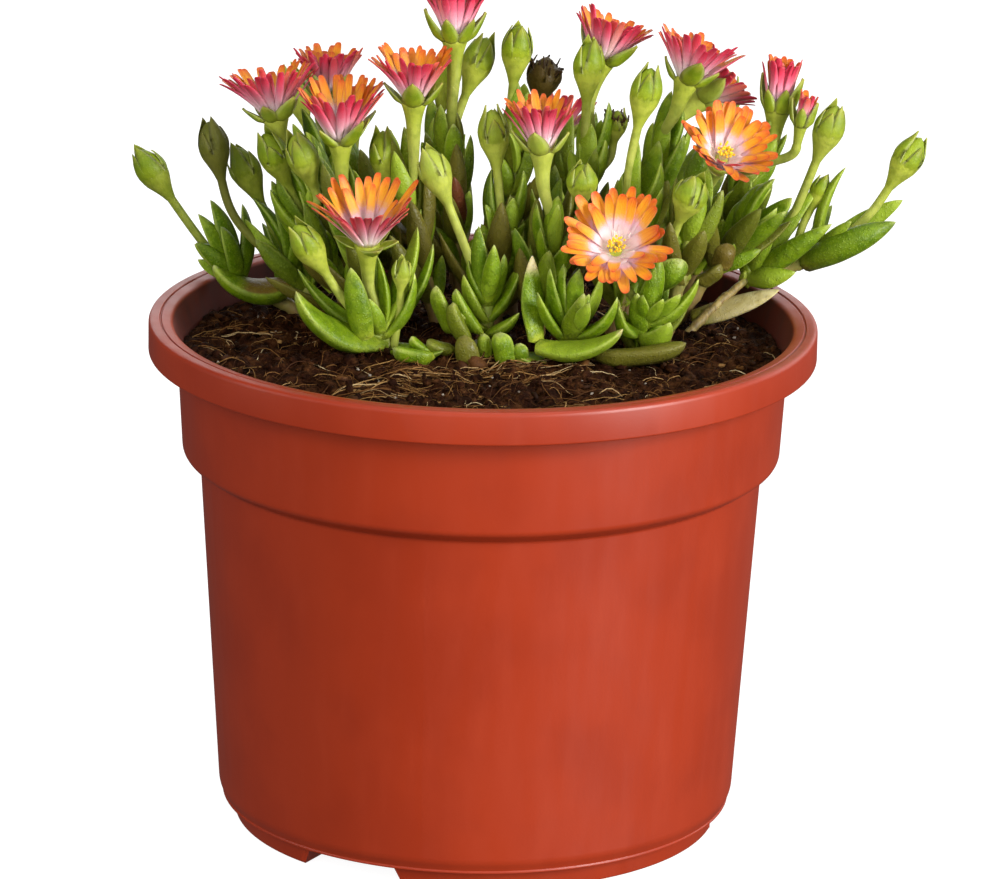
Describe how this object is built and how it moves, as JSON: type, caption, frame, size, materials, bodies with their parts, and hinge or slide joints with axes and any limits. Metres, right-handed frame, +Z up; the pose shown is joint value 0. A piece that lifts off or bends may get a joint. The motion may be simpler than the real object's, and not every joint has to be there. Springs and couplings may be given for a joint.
{
  "type": "potted fire spinner ice plant",
  "caption": "Low fleshy-leaved flowering plant with narrow-petalled orange and pink flowers and pointed buds, growing in a round flared nursery pot.",
  "frame": {"origin": "middle of the pot's underside, on the surface that the pot stands on", "axes": "+Z up along the pot's axis, -Y towards the front of the plant, +X to the right seen from the front"},
  "size_m": [0.2033, 0.17, 0.2148],
  "materials": {
    "pot_plastic": "satin injection-moulded plastic, terracotta red",
    "potting_soil": "moist loose peat with fibres and thin roots",
    "leaf_flesh": "smooth fleshy leaf with fine glistening papillae",
    "flower_stalk": "smooth pale green stalk and receptacle",
    "petal": "thin soft petal with a silky sheen"
  },
  "bodies": {
    "root": {"flower_01_petals": "petal", "flower_01_stalk": "flower_stalk", "flower_02_petals": "petal", "flower_02_stalk": "flower_stalk", "flower_03_petals": "petal", "flower_03_stalk": "flower_stalk", "flower_04_petals": "petal", "flower_04_stalk": "flower_stalk", "flower_05_petals": "petal", "flower_05_stalk": "flower_stalk", "flower_06_petals": "petal", "flower_06_stalk": "flower_stalk", "flower_07_petals": "petal", "flower_07_stalk": "flower_stalk", "flower_08_petals": "petal", "flower_08_stalk": "flower_stalk", "flower_09_petals": "petal", "flower_10_petals": "petal", "flower_10_stalk": "flower_stalk", "flower_11_petals": "petal", "flower_12_petals": "petal", "flower_12_stalk": "flower_stalk", "flower_13_petals": "petal", "flower_13_stalk": "flower_stalk", "flower_14_petals": "petal", "flower_14_stalk": "flower_stalk", "flower_15_petals": "petal", "flower_15_stalk": "flower_stalk", "flower_16_petals": "petal", "flower_16_stalk": "flower_stalk", "pot": "pot_plastic", "shoot_back_left_inner": "leaf_flesh", "shoot_back_left_outer": "leaf_flesh", "shoot_back_middle": "leaf_flesh", "shoot_back_middle_left": "leaf_flesh", "shoot_back_middle_right": "leaf_flesh", "shoot_back_right_inner": "leaf_flesh", "shoot_back_right_outer": "leaf_flesh", "shoot_centre": "leaf_flesh", "shoot_centre_front": "leaf_flesh", "shoot_centre_left": "leaf_flesh", "shoot_centre_right": "leaf_flesh", "shoot_front_left": "leaf_flesh", "shoot_front_right_inner": "leaf_flesh", "shoot_front_right_outer": "leaf_flesh", "shoot_left_middle": "leaf_flesh", "shoot_left_outer": "leaf_flesh", "shoot_left_upper": "leaf_flesh", "shoot_middle_left": "leaf_flesh", "shoot_rear_left": "leaf_flesh", "shoot_rear_middle_left": "leaf_flesh", "shoot_rear_middle_right": "leaf_flesh", "shoot_rear_right": "leaf_flesh", "shoot_right_branch": "leaf_flesh", "shoot_right_front": "leaf_flesh", "shoot_right_middle": "leaf_flesh", "shoot_right_upright": "leaf_flesh", "soil": "potting_soil"}
  },
  "joints": []
}
